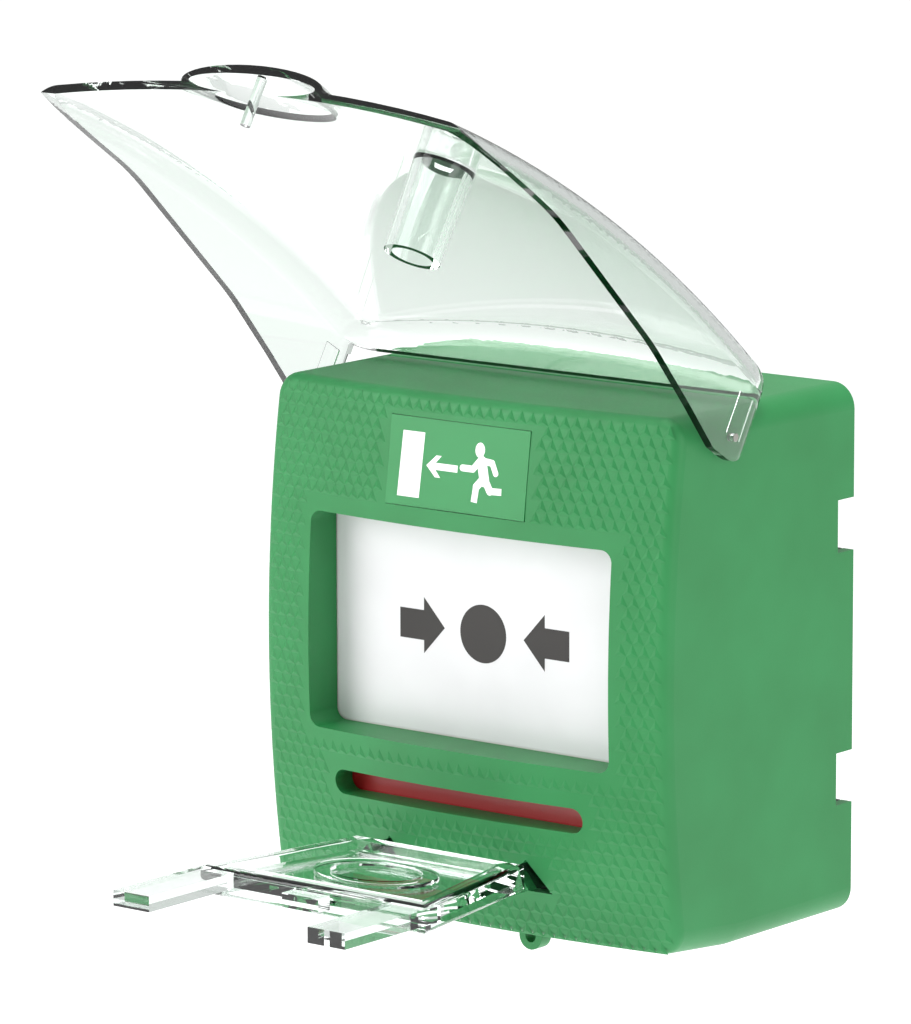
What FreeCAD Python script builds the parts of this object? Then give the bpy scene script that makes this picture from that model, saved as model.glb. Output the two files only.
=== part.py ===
import FreeCAD, Part
import os
import Sketcher

# Resettable manual call point for releasing an emergency door.
# Millimetres. The wall is the plane y = 0, the front faces -Y, +X is to the right and +Z is up.
# The origin is the centre of the back, on the wall.

SIZES = {
    # green front cover: a box whose front is part of a large sphere
    "case_width": 100.0,
    "case_height": 106.0,
    "case_depth": 64.9,
    "front_radius": 308.0,
    "case_wall": 2.5,
    "case_corner": 5.0,
    "case_edge": 2.5,
    # the underside rises towards the front from here on
    "chin_start": "=case_depth - 26.9",
    "chin_rise": 2.6,
    # rear edge notches in both sides
    "notch_depth": 5.3,
    "notch_height": 10.5,
    "notch_spacing": 50.6,
    # shallow groove across the top
    "groove_behind_front": 37.3,
    "groove_radius": 0.9,
    # window and indicator slot, each with its own reveal
    "sign_height": 17.6,
    "sign_under_top": 4.6,
    "sign_low": "=case_height / 2 - sign_under_top - sign_height",
    "sign_middle": "=sign_low + sign_height / 2",
    "key_hole_over_bottom": 17.3,
    "key_hole_top": "=key_hole_over_bottom - case_height / 2",
    "slot_over_key_holes": 9.3,
    "slot_middle": "=key_hole_top + slot_over_key_holes",
    "window_side_margin": 12.8,
    "window_width": "=case_width - 2 * window_side_margin",
    "window_under_sign": 3.6,
    "window_over_slot": 10.3,
    "window_top": "=sign_low - window_under_sign",
    "window_low": "=slot_middle + window_over_slot",
    "window_height": "=window_top - window_low",
    "window_middle": "=(window_top + window_low) / 2",
    "window_corner": 2.5,
    "window_back": "=case_depth - 11.1",
    "reveal_wall": 1.8,
    "slot_side_margin": 19.2,
    "slot_width": "=case_width - 2 * slot_side_margin",
    "slot_height": 5.0,
    "slot_back": "=case_depth - 7.9",
    # sign plate in its recess
    "sign_width": 34.5,
    "sign_tilt": 7.4,
    "sign_recess": 1.4,
    "sign_thickness": 1.0,
    "sign_gap": 0.1,
    # triangular key holes
    "key_hole_spacing": 34.0,
    "key_hole_half": 5.7,
    "key_hole_rise": 6.3,
    # seal eyelet under the cover
    "eyelet_radius": 2.8,
    "eyelet_bore": 1.3,
    "eyelet_length": 3.1,
    "eyelet_drop": 4.9,
    "eyelet_from_wall": "=case_depth - 27.4",
    # clear lid, drawn closed and then turned up about its pins
    "pivot_from_wall": "=case_depth - 22.3",
    "pivot_up": "=case_height / 2 - 4.8",
    "pin_radius": 0.8,
    "pin_clearance": 0.05,
    "lid_open_angle": 121.3,
    "lid_gap": 0.8,
    "lid_side_gap": 0.6,
    "lid_wall": 1.8,
    "lid_corner": 6.5,
    "lid_edge": 6.0,
    "lid_low": "=case_height / -2 - 3",
    "lid_high": "=case_height / 2 + 3",
    "rim_reach": 8.0,
    "rim_round": 60.0,
    "rim_straight": 32.1,
    "ear_taper_start": 32.8,
    "ear_taper_end": 16.7,
    "ear_ramp_length": 8.7,
    "ear_ramp_width": 4.6,
    "ear_ramp_depth": 0.35,
    "ear_notch_reach": 13.2,
    "ear_relief_reach": 10.9,
    "ear_top": "=pivot_up + 5.1",
    "ear_back": "=pivot_from_wall - 4.6",
    "ear_round": 5.4,
    "finger_across": -1.0,
    "finger_half": 17.0,
    "finger_rise": 3.9,
    "finger_height": 21.0,
    "post_across": 20.5,
    "post_over_slot": 4.7,
    "post_up": "=slot_middle + post_over_slot",
    "post_end": "=case_depth - 19.7",
    "post_base_radius": 6.0,
    "post_tip_radius": 5.5,
    "post_wall": 1.5,
    "peg_radius": 1.0,
    "peg_end": "=case_depth - 10.3",
    # operating plate and its printed sheet
    "plate_overlap": 2.2,
    "plate_gap": 0.3,
    "plate_thickness": 2.4,
    "plate_travel": 2.5,
    "print_thickness": 0.2,
    "print_margin": 0.25,
    "guide_across": "=case_width / 2 - 16",
    "guide_up": "=window_height / 2 - 3.65",
    "guide_radius": 2.0,
    "guide_clearance": 0.08,
    "sleeve_radius": 4.0,
    "sleeve_length": 8.0,
    "pusher_radius": 1.5,
    # indicator flag, moved down by slanted slots in the plate's two skirts
    "flag_thickness": 1.2,
    "flag_gap": 0.4,
    "flag_low": "=slot_middle - 3",
    "flag_high": "=window_middle - window_height / 2 - reveal_wall - 0.7",
    "flag_travel": 5.1,
    "flag_half": "=slot_width / 2 + 2.5",
    "flag_ear": 1.6,
    "flag_peg_radius": 1.0,
    "flag_peg_from_wall": "=slot_back - 11",
    "cam_clearance": 0.15,
    "skirt_thickness": 1.8,
    # chassis
    "chassis_front": 27.0,
    "chassis_thickness": 3.0,
    "chassis_half_width": "=case_width / 2 - 5.5",
    "chassis_half_height": "=case_height / 2 - 5.5",
    "spring_wire": 0.8,
    "spring_gap": 0.2,
    # reset slider
    "slider_travel": 2.0,
    "slider_front": "=case_depth - 8.4",
    "slider_back": "=slider_front - 4",
    "slider_high": "=key_hole_top + 0.5",
    "slider_low": "=slider_high - 7.4",
    "slider_half": "=flag_half - 3.3",
    "slider_pin_across": "=slider_half - 4",
    "slider_boss_front": "=slider_back - 10.5",
    # wall base
    "base_gap": 0.3,
    "base_thickness": 3.0,
    "post_radius": 3.6,
    "base_post_across": "=case_width / 2 - 9.5",
    "base_post_up": "=case_height / 2 - 9.5",
    "fixing_spacing": 60.0,
    "fixing_slot_length": 9.0,
    "fixing_slot_width": 4.5,
    "entry_radius": 8.0,
    "entry_up": -22.0,
    "wire_radius": 4.0,
    "hook_width": 9.4,
    "hook_thickness": 1.6,
    "hook_from_wall": 14.0,
    "hook_nib": 1.7,
    "hook_clearance": 0.3,
    # circuit board, switches and terminals
    "board_back": 14.0,
    "board_thickness": 1.6,
    "board_half_width": "=case_width / 2 - 16",
    "board_low": "=case_height / -2 + 8",
    "board_high": "=case_height / 2 - 21",
    "board_screw_across": "=board_half_width - 4",
    "board_screw_low": "=board_low + 4",
    "board_screw_high": "=board_high - 4",
    "switch_across": 18.0,
    "switch_width": 6.4,
    "switch_length": 15.0,
    "switch_height": 9.0,
    "switch_middle": 1.5,
    "lever_pivot_up": -3.0,
    "lever_length": 17.0,
    "lever_thickness": 0.5,
    "lever_pin_radius": 0.6,
    "lever_rest": 27.8,
    "terminal_across": 11.5,
    "terminal_width": 20.4,
    "terminal_low": "=board_low + 7",
    "terminal_height": 12.0,
    "terminal_depth": 9.0,
    "terminal_pitch": 5.0,
    # small screws
    "chassis_screw_radius": 1.5,
    "chassis_head_radius": 2.8,
    "board_screw_radius": 1.2,
    "board_head_radius": 2.4,
    "head_height": 1.8,
    # reset key
    "key_top": "=key_hole_top + 0.7",
    "key_thickness": 5.6,
    "key_back": "=case_depth + 2.8",
    "key_front": "=key_back + 39",
    "key_back_half": 20.8,
    "key_front_half": "=key_back_half + 7",
    "key_rim": 3.6,
    "key_web": 2.2,
    "prong_across": 24.0,
    "prong_width": 9.0,
    "prong_thickness": 3.1,
    "prong_end": "=key_front + 24.6",
    "ring_radius": 10.0,
    "ring_width": 2.6,
    "ring_squash": 0.72,
    "leg_end": "=slider_front + 0.5",
    "leg_half": 3.9,
    "leg_rise": 4.4,
    "leg_clearance": 0.5,
    "leg_top": "=key_hole_top - leg_clearance",
}

AXIS_TURNS = {
    "X": FreeCAD.Rotation(FreeCAD.Vector(0, 1, 0), 90),
    "Y": FreeCAD.Rotation(FreeCAD.Vector(1, 0, 0), -90),
    "Z": FreeCAD.Rotation(),
}
SIDES = {"left": -1, "right": 1}


# ---------------------------------------------------------------- the document and its helpers

def make_sheet(doc):
    """One row per size: its name in column A, its value or formula with that name as alias in B."""
    sheet = doc.addObject("Spreadsheet::Sheet", "sizes")
    for row, (alias, value) in enumerate(SIZES.items(), start=1):
        sheet.set(f"A{row}", alias)
        sheet.set(f"B{row}", str(value))
        sheet.setAlias(f"B{row}", alias)
    doc.recompute()
    return sheet


def spell(formula):
    """Put the sheet's name before each size in a formula."""
    words = []
    word = ""
    for sign in str(formula) + " ":
        if sign.isalnum() or sign in "_.":
            word += sign
            continue
        words.append("sizes." + word if word in SIZES else word)
        words.append(sign)
        word = ""
    return "".join(words).strip()


def bind(thing, formulas):
    for path, formula in formulas.items():
        thing.setExpression(path, spell(formula))


def place(thing, at):
    for letter, formula in zip("xyz", at):
        bind(thing, {f"Placement.Base.{letter}": formula})


def block(doc, name, x, y, z):
    """A box, from the low to the high formula on each axis."""
    box = doc.addObject("Part::Box", name)
    for path, (low, high) in {"Length": x, "Width": y, "Height": z}.items():
        bind(box, {path: f"({high}) - ({low})"})
    place(box, (x[0], y[0], z[0]))
    return box


def rod(doc, name, axis, start, radius, length):
    """A cylinder that runs from its start towards + on the named axis."""
    cylinder = doc.addObject("Part::Cylinder", name)
    cylinder.Placement = FreeCAD.Placement(FreeCAD.Vector(), AXIS_TURNS[axis])
    bind(cylinder, {"Radius": radius, "Height": length})
    place(cylinder, start)
    return cylinder


def taper(doc, name, axis, start, radius_start, radius_end, length):
    cone = doc.addObject("Part::Cone", name)
    cone.Placement = FreeCAD.Placement(FreeCAD.Vector(), AXIS_TURNS[axis])
    bind(cone, {"Radius1": radius_start, "Radius2": radius_end, "Height": length})
    place(cone, start)
    return cone


def fuse(doc, name, parts):
    union = doc.addObject("Part::MultiFuse", name)
    union.Shapes = parts
    union.Refine = True
    return union


def cut(doc, name, base, tools):
    """Take the tools away from the base."""
    tool = tools[0] if len(tools) == 1 else fuse(doc, name + "_tools", tools)
    difference = doc.addObject("Part::Cut", name)
    difference.Base = base
    difference.Tool = tool
    difference.Refine = True
    return difference


def common(doc, name, parts):
    overlap = doc.addObject("Part::MultiCommon", name)
    overlap.Shapes = parts
    overlap.Refine = True
    return overlap


def group(doc, name, parts):
    """Separate identical solids that share one node."""
    compound = doc.addObject("Part::Compound", name)
    compound.Links = parts
    return compound


def fillet(doc, name, base, wanted, radius):
    """Round the base's edges that wanted(edge) picks."""
    doc.recompute()
    picked = [(n, radius, radius) for n, edge in enumerate(base.Shape.Edges, start=1) if wanted(edge)]
    rounded = doc.addObject("Part::Fillet", name)
    rounded.Base = base
    rounded.Edges = picked
    return rounded


def runs_along(edge, axis, length):
    """True for a straight edge along the axis, at least that long."""
    if edge.Curve.TypeId != "Part::GeomLine":
        return False
    direction = edge.Curve.Direction
    return abs(abs(getattr(direction, axis)) - 1) < 1e-6 and edge.Length > length


def outline(doc, name, plane, points, thickness, offset="0", symmetric=False):
    """A body: a straight-sided sketch on one of its origin planes, padded.

    The pad runs towards +X from YZ_Plane, -Y from XZ_Plane and +Z from XY_Plane.
    """
    body = doc.addObject("PartDesign::Body", name)
    sketch = body.newObject("Sketcher::SketchObject", name + "_sketch")
    support = [item for item in body.Origin.OriginFeatures if item.Role == plane][0]
    sketch.AttachmentSupport = [(support, "")]
    sketch.MapMode = "FlatFace"
    bind(sketch, {"AttachmentOffset.Base.z": offset})
    count = len(points)
    corners = [FreeCAD.Vector(20 * n, 7 * n * n, 0) for n in range(count)]
    for n in range(count):
        sketch.addGeometry(Part.LineSegment(corners[n], corners[(n + 1) % count]), False)
    for n in range(count):
        sketch.addConstraint(Sketcher.Constraint("Coincident", n, 2, (n + 1) % count, 1))
    for n, point in enumerate(points):
        for kind, formula in zip(("DistanceX", "DistanceY"), point):
            value = evaluate(formula)
            index = sketch.addConstraint(Sketcher.Constraint(kind, -1, 1, n, 1, value))
            sketch.setExpression(f"Constraints[{index}]", spell(formula))
    pad = body.newObject("PartDesign::Pad", name + "_pad")
    pad.Profile = sketch
    pad.SideType = "Symmetric" if symmetric else "One side"
    bind(pad, {"Length": thickness})
    doc.recompute()
    return body


def evaluate(formula):
    """The number that a formula of sizes gives."""
    sheet = FreeCAD.ActiveDocument.getObject("sizes")
    return float(sheet.evalExpression(spell(formula).replace("sizes.", "")))


def plate_to_plate(doc, name, half_width, low, high, back, front):
    """A box placed by its half width, its heights, and its distances from the wall."""
    return block(doc, name, (f"-({half_width})", half_width), (f"-({front})", f"-({back})"), (low, high))


def ball(doc, name, offset):
    """The sphere of the front, moved outwards by the offset."""
    sphere = doc.addObject("Part::Sphere", name)
    bind(sphere, {"Radius": f"front_radius + ({offset})"})
    place(sphere, ("0", "front_radius - case_depth", "0"))
    return sphere


def chin(doc, name, offset):
    """What is cut away under the cover's front; offset lifts it, for the inside of the wall."""
    level = f"-case_height / 2 + ({offset})"
    points = [
        ("-chin_start", level),
        ("-case_depth - 3", f"{level} + chin_rise"),
        ("-case_depth - 3", f"{level} - 5"),
        ("-chin_start", f"{level} - 5"),
    ]
    return outline(doc, name, "YZ_Plane", points, "case_width + 20", symmetric=True)


def domed_box(doc, name, half_width, low, high, back, offset, corner, edge, chinned=False):
    """A box with its front on the sphere, its long edges and then its front edges rounded."""
    raw = plate_to_plate(doc, name + "_box", half_width, low, high, back, f"case_depth + ({offset}) + 2")
    if chinned:
        raw = cut(doc, name + "_chinned", raw, [chin(doc, name + "_chin", "0")])

    def goes_back(item):
        return item.Curve.TypeId == "Part::GeomLine" and abs(item.Curve.Direction.y) > 0.95

    soft = fillet(doc, name + "_soft", raw, goes_back, evaluate(corner))
    domed = common(doc, name + "_domed", [soft, ball(doc, name + "_ball", offset)])
    limit = -evaluate(f"case_depth + ({offset}) - 14")

    def on_front(item):
        return item.BoundBox.YMax < limit

    return fillet(doc, name, domed, on_front, evaluate(edge))


# ---------------------------------------------------------------- the cover and what is on it

def triangle(doc, name, side, half, top, rise, back, front):
    """A triangular prism, point up, between two distances from the wall."""
    across = f"{side} * key_hole_spacing / 2"
    points = [
        (across, top),
        (f"{across} + ({half})", f"({top}) - ({rise})"),
        (f"{across} - ({half})", f"({top}) - ({rise})"),
    ]
    return outline(doc, name, "XZ_Plane", points, f"({front}) - ({back})", back)


def slot_shape(doc, name, grow, back, front):
    """The indicator slot's round-ended shape, widened by grow on every side."""
    half = "slot_width / 2 - slot_height / 2"
    radius = f"slot_height / 2 + ({grow})"
    middle = plate_to_plate(
        doc, name + "_middle", half, f"slot_middle - ({radius})", f"slot_middle + ({radius})", back, front
    )
    ends = [
        rod(doc, f"{name}_{word}", "Y", (f"{side} * ({half})", f"-({front})", "slot_middle"), radius,
            f"({front}) - ({back})")
        for word, side in SIDES.items()
    ]
    return fuse(doc, name, [middle] + ends)


def window_shape(doc, name, grow, back, front, corner):
    raw = plate_to_plate(
        doc, name + "_box", f"window_width / 2 + ({grow})",
        f"window_middle - window_height / 2 - ({grow})", f"window_middle + window_height / 2 + ({grow})",
        back, front,
    )
    return fillet(doc, name, raw, lambda item: runs_along(item, "y", 5), evaluate(corner))


def cover_notches(doc):
    notches = []
    for word, side in SIDES.items():
        for level, up in {"low": -1, "high": 1}.items():
            outer = f"{side} * (case_width / 2 + 1)"
            inner = f"{side} * (case_width / 2 - case_wall - 1)"
            x = (outer, inner) if side < 0 else (inner, outer)
            middle = f"{up} * notch_spacing / 2"
            z = (f"{middle} - notch_height / 2", f"{middle} + notch_height / 2")
            notches.append(block(doc, f"notch_{word}_{level}", x, ("-notch_depth", "1"), z))
    return notches


def hook_openings(doc):
    """Openings that the base's hooks snap into: through the bottom wall, blind in the top wall."""
    y = (
        "-hook_from_wall - hook_nib - hook_clearance",
        "-hook_from_wall + hook_nib + hook_clearance",
    )
    tools = []
    for word, side in SIDES.items():
        x = (
            f"{side} * prong_across - hook_width / 2 - hook_clearance",
            f"{side} * prong_across + hook_width / 2 + hook_clearance",
        )
        bottom = ("-case_height / 2 - 1", "-case_height / 2 + case_wall + 0.5")
        top = ("case_height / 2 - case_wall - 0.5", "case_height / 2 - 0.6")
        tools.append(block(doc, f"release_slot_{word}", x, y, bottom))
        tools.append(block(doc, f"hook_pocket_{word}", x, y, top))
    return tools


def seal_eyelet(doc):
    """A short tube along the depth, hanging from the cover's underside."""
    start = "-eyelet_from_wall - eyelet_length / 2"
    middle = "-case_height / 2 - eyelet_drop"
    tube = rod(doc, "eyelet_tube", "Y", ("0", start, middle), "eyelet_radius", "eyelet_length")
    cheeks = block(
        doc, "eyelet_neck", ("-eyelet_radius", "eyelet_radius"), (start, f"{start} + eyelet_length"),
        (middle, "-case_height / 2 + 1"),
    )
    return [tube, cheeks]


def front_cover(doc):
    outer = domed_box(
        doc, "cover_outer", "case_width / 2", "-case_height / 2", "case_height / 2", "0", "0",
        "case_corner", "case_edge", chinned=True,
    )
    inner_box = plate_to_plate(
        doc, "cover_inner_box", "case_width / 2 - case_wall", "-case_height / 2 + case_wall",
        "case_height / 2 - case_wall", "-1", "case_depth",
    )
    inner_domed = common(doc, "cover_inner_domed", [inner_box, ball(doc, "cover_inner_ball", "-case_wall")])
    inner = cut(doc, "cover_inner", inner_domed, [chin(doc, "cover_inner_chin", "case_wall")])
    shell = cut(doc, "cover_shell", outer, [inner])
    reveals = fuse(doc, "cover_reveals", [
        window_shape(doc, "window_reveal", "reveal_wall", "window_back", "case_depth",
                     "window_corner + reveal_wall"),
        slot_shape(doc, "slot_reveal", "reveal_wall", "slot_back", "case_depth"),
    ])
    trimmed = common(doc, "cover_reveals_trimmed", [reveals, ball(doc, "reveal_ball", "-case_wall / 2")])
    solid = fuse(doc, "cover_solid", [shell, trimmed] + seal_eyelet(doc))
    tools = [
        window_shape(doc, "window_cut", "0", "window_back - 1", "case_depth + 1", "window_corner"),
        slot_shape(doc, "slot_cut", "0", "slot_back - 1", "case_depth + 1"),
        sign_recess(doc),
        rod(doc, "eyelet_hole", "Y",
            ("0", "-eyelet_from_wall - eyelet_length", "-case_height / 2 - eyelet_drop"),
            "eyelet_bore", "2 * eyelet_length"),
        rod(doc, "top_groove", "X", ("-case_width / 2 + case_corner", "-case_depth + groove_behind_front",
                                     "case_height / 2 + groove_radius * 0.55"),
            "groove_radius", "case_width - 2 * case_corner"),
    ]
    for word, side in SIDES.items():
        tools.append(triangle(doc, f"key_hole_{word}", side, "key_hole_half", "key_hole_top",
                              "key_hole_rise", "case_depth - 10", "case_depth + 1"))
        start = "-case_width / 2 - 1" if side < 0 else "case_width / 2 - case_wall - 1"
        tools.append(rod(doc, f"pin_hole_{word}", "X", (start, "-pivot_from_wall", "pivot_up"),
                         "pin_radius", "case_wall + 2"))
    tools += cover_notches(doc) + hook_openings(doc)
    return cut(doc, "front_cover", solid, tools)


def sign_plate(doc, name, grow, back, front):
    """A plate at the sign's place, leaning back with the front's curve; depths are from the case's front."""
    plate = block(
        doc, name, (f"-sign_width / 2 - ({grow})", f"sign_width / 2 + ({grow})"),
        (f"-({front})", f"-({back})"), (f"-sign_height / 2 - ({grow})", f"sign_height / 2 + ({grow})"),
    )
    seat = doc.addObject("Part::Compound", name + "_seat")
    seat.Links = [plate]
    turn = FreeCAD.Rotation(FreeCAD.Vector(1, 0, 0), -evaluate("sign_tilt"))
    seat.Placement = FreeCAD.Placement(FreeCAD.Vector(), turn)
    place(seat, ("0", "front_radius - case_depth - sqrt(front_radius * front_radius - sign_middle * sign_middle)",
                 "sign_middle"))
    return seat


def sign_recess(doc):
    return sign_plate(doc, "sign_recess_cut", "0", "-sign_recess", "3")


def sign_label(doc):
    label = sign_plate(doc, "sign_label_plate", "-sign_gap", "-sign_recess", "sign_thickness - sign_recess")
    label.Label = "sign_label"
    return label


def lid_hinge_pins(doc):
    length = "case_wall + lid_side_gap + lid_wall + 0.1"
    left = rod(doc, "hinge_pin_left", "X",
               ("-case_width / 2 - lid_side_gap - lid_wall - 0.1", "-pivot_from_wall", "pivot_up"),
               "pin_radius", length)
    right = rod(doc, "hinge_pin_right", "X", ("case_width / 2 - case_wall", "-pivot_from_wall", "pivot_up"),
                "pin_radius", length)
    return group(doc, "lid_hinge_pins", [left, right])


# ---------------------------------------------------------------- the clear lid

def lid_profile(doc):
    """What is kept of the lid, seen from the side: a wall that narrows from the ears to the rim."""
    points = [
        ("-case_depth - 12", "lid_low"),
        ("-case_depth + rim_reach", "lid_low"),
        ("-case_depth + rim_reach + 1.4", "lid_low + rim_straight"),
        ("-case_depth + rim_reach + 9.7", "pivot_up - ear_taper_start"),
        ("-case_depth + rim_reach + 14.9", "pivot_up - ear_taper_end"),
        ("-ear_back", "pivot_up - ear_round"),
        ("-ear_back", "ear_top"),
        ("-case_depth + ear_notch_reach", "ear_top"),
        ("-case_depth + ear_notch_reach - 1.5", "lid_high + 1"),
        ("-case_depth - 12", "lid_high + 1"),
    ]
    profile = outline(doc, "lid_profile", "YZ_Plane", points, "case_width + 20", symmetric=True)

    def ear_corner(item):
        middle = item.CenterOfMass
        at_back = abs(middle.y + evaluate("ear_back")) < 1e-6
        return runs_along(item, "x", 50) and at_back and middle.z > evaluate("pivot_up")

    def soft_corner(item):
        middle = item.CenterOfMass
        between = evaluate("lid_low + 1") < middle.z < evaluate("pivot_up - 10")
        return runs_along(item, "x", 50) and between and middle.y > -evaluate("case_depth")

    rounded = fillet(doc, "lid_profile_ear", profile, ear_corner, evaluate("ear_round"))
    return fillet(doc, "lid_profile_soft", rounded, soft_corner, evaluate("rim_round"))


def finger_bulge(doc, name, inset):
    """The egg-shaped bulge at the middle of the rim; inset makes its hollow."""
    bulge = doc.addObject("Part::Ellipsoid", name)
    bind(bulge, {
        "Radius1": f"finger_height - ({inset})",
        "Radius2": f"finger_half - ({inset})",
        "Radius3": f"finger_rise - ({inset})",
    })
    reach = "(front_radius + lid_gap + lid_wall) * (front_radius + lid_gap + lid_wall) - lid_low * lid_low"
    place(bulge, ("finger_across", f"front_radius - case_depth - sqrt({reach})", "lid_low"))
    return bulge


def lid(doc):
    inner_half = "case_width / 2 + lid_side_gap"
    outer = domed_box(
        doc, "lid_outer", f"{inner_half} + lid_wall", "lid_low - 20", "lid_high", "20",
        "lid_gap + lid_wall", "lid_corner", "lid_edge",
    )
    inner = domed_box(
        doc, "lid_inner", inner_half, "lid_low - 30", "lid_high - lid_wall", "10", "lid_gap",
        "lid_corner - lid_wall", "lid_edge - lid_wall",
    )
    outside = fuse(doc, "lid_outside", [outer, finger_bulge(doc, "finger_outer", "0")])
    hollow = fuse(doc, "lid_hollow", [
        inner, finger_bulge(doc, "finger_inner", "lid_wall"),
    ])
    shell = cut(doc, "lid_shell", outside, [hollow])
    kept = common(doc, "lid_kept", [shell, lid_profile(doc)])
    sheet_front = "case_depth + lid_gap + 0.6"
    across, up = "post_across", "post_up"
    post_length = f"{sheet_front} - 1.5 - post_end"
    post = taper(doc, "lid_post_outer", "Y", (across, f"-({post_length}) - post_end", up),
                 "post_base_radius", "post_tip_radius", post_length)
    bore_length = f"{post_length} - 1"
    bore = taper(doc, "lid_post_bore", "Y", (across, f"-({bore_length}) - post_end + 0.5", up),
                 "post_base_radius - post_wall", "post_tip_radius - post_wall", f"{bore_length} + 0.01")
    peg = rod(doc, "lid_peg", "Y", ("0", "-case_depth - lid_gap + 0.5", "lid_low + peg_radius + 0.2"),
              "peg_radius", "case_depth + lid_gap - 0.5 - peg_end")
    ear_relief = plate_to_plate(doc, "ear_relief", inner_half, "pivot_up - 18", "lid_high + 1",
                                "pivot_from_wall - 12", "case_depth - ear_relief_reach")
    trimmed = cut(doc, "lid_trimmed", kept, [ear_relief])
    joined = fuse(doc, "lid_joined", [trimmed, post, peg])
    holes = [
        rod(doc, f"ear_hole_{word}", "X", (f"{side} * (case_width / 2 + 3) - 4", "-pivot_from_wall", "pivot_up"),
            "pin_radius + pin_clearance", "8")
        for word, side in SIDES.items()
    ]
    for word, side in SIDES.items():
        inner_face = f"{side} * ({inner_half})"
        groove_floor = f"{side} * ({inner_half} + ear_ramp_depth)"
        x = (groove_floor, inner_face) if side < 0 else (inner_face, groove_floor)
        holes.append(block(doc, f"ear_ramp_{word}", x, ("-pivot_from_wall - ear_ramp_length", "-pivot_from_wall"),
                           ("pivot_up - ear_ramp_width / 2", "pivot_up + ear_ramp_width / 2")))
    closed = cut(doc, "lid_closed", joined, [bore] + holes)
    return closed


# ---------------------------------------------------------------- what moves behind the window

def plate_front():
    return "window_back - plate_gap"


def operating_plate(doc):
    back = f"{plate_front()} - plate_thickness"
    middle = "window_middle"
    plate = plate_to_plate(
        doc, "plate_panel", "window_width / 2 + plate_overlap",
        f"{middle} - window_height / 2 - plate_overlap", f"{middle} + window_height / 2 + plate_overlap",
        back, plate_front(),
    )
    solids = [plate]
    holes = []
    for word, side in SIDES.items():
        for level, up in {"low": -1, "high": 1}.items():
            at = (f"{side} * guide_across", f"-({back})", f"{middle} + {up} * guide_up")
            solids.append(rod(doc, f"sleeve_{word}_{level}", "Y", at, "sleeve_radius", "sleeve_length"))
            holes.append(rod(doc, f"sleeve_bore_{word}_{level}", "Y", at, "guide_radius + guide_clearance",
                             "sleeve_length + 1"))
        pusher_end = "lever_rest + plate_gap"
        solids.append(rod(doc, f"pusher_{word}", "Y",
                          (f"{side} * switch_across", f"-({back})", "lever_pivot_up + lever_length - 3"),
                          "pusher_radius", f"{back} - ({pusher_end})"))
        inner = "flag_half + flag_ear + 0.9"
        x = (inner, f"{inner} + skirt_thickness")
        if side < 0:
            x = (f"-({x[1]})", f"-({x[0]})")
        solids.append(block(doc, f"skirt_{word}", x, (f"-({plate_front()})", "-flag_peg_from_wall + 3"),
                            ("flag_low - 6", f"{middle} - window_height / 2 - plate_overlap + 1")))
        holes.append(cam_slot(doc, word, side))
    return cut(doc, "operating_plate", fuse(doc, "plate_solid", solids), holes)


def cam_slot(doc, word, side):
    """The slanted slot that carries the flag's peg down as the plate goes back."""
    start = ("-flag_peg_from_wall", "(flag_low + flag_high) / 2 - 2.4")
    end = (f"{start[0]} - plate_travel", f"{start[1]} - flag_travel")
    wide = "flag_peg_radius + cam_clearance"
    slope = "sqrt(plate_travel * plate_travel + flag_travel * flag_travel)"
    dy = f"({wide}) * flag_travel / {slope}"
    dz = f"({wide}) * plate_travel / {slope}"
    points = [
        (f"{start[0]} - {dy}", f"{start[1]} + {dz}"),
        (f"{start[0]} + {dy}", f"{start[1]} - {dz}"),
        (f"{end[0]} + {dy}", f"{end[1]} - {dz}"),
        (f"{end[0]} - {dy}", f"{end[1]} + {dz}"),
    ]
    run = outline(doc, f"cam_run_{word}", "YZ_Plane", points, "6", f"{side} * (flag_half + 4) - 3")
    ends = [
        rod(doc, f"cam_end_{word}_{n}", "X", (f"{side} * (flag_half + 4) - 3", at[0], at[1]), wide, "6")
        for n, at in enumerate((start, end))
    ]
    return fuse(doc, f"cam_slot_{word}", [run] + ends)


def panel_print(doc):
    raw = plate_to_plate(
        doc, "panel_print_box", "window_width / 2 - print_margin",
        "window_middle - window_height / 2 + print_margin",
        "window_middle + window_height / 2 - print_margin",
        plate_front(), f"{plate_front()} + print_thickness",
    )
    return fillet(doc, "panel_print", raw, lambda item: runs_along(item, "y", 0.1), evaluate("window_corner"))


def indicator_flag(doc):
    front = "slot_back - flag_gap"
    back = f"{front} - flag_thickness"
    strip = plate_to_plate(doc, "flag_strip", "flag_half + flag_ear", "flag_low", "flag_high", back, front)
    solids = [strip]
    peg_up = "(flag_low + flag_high) / 2 - 2.4"
    for word, side in SIDES.items():
        x = ("flag_half", "flag_half + flag_ear")
        start = "flag_half + flag_ear - 0.2"
        reach = "skirt_thickness + 1.3"
        if side < 0:
            x = (f"-({x[1]})", f"-({x[0]})")
            start = f"-({start}) - ({reach})"
        solids.append(block(doc, f"flag_ear_{word}", x, (f"-({front})", "-flag_peg_from_wall + 2"),
                            ("flag_low", "flag_low + 5.5")))
        solids.append(rod(doc, f"flag_peg_{word}", "X", (start, "-flag_peg_from_wall", peg_up),
                          "flag_peg_radius", reach))
    return fuse(doc, "indicator_flag", solids)


def reset_slider(doc):
    bar = plate_to_plate(doc, "slider_bar", "slider_half", "slider_low", "slider_high", "slider_back",
                         "slider_front")
    middle = "(slider_low + slider_high) / 2"
    bores = [
        rod(doc, f"slider_bore_{word}", "Y", (f"{side} * slider_pin_across", "-slider_front - 1", middle),
            "guide_radius + guide_clearance", "slider_front - slider_back + 2")
        for word, side in SIDES.items()
    ]
    return cut(doc, "reset_slider", bar, bores)


# ---------------------------------------------------------------- chassis, springs and base

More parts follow.
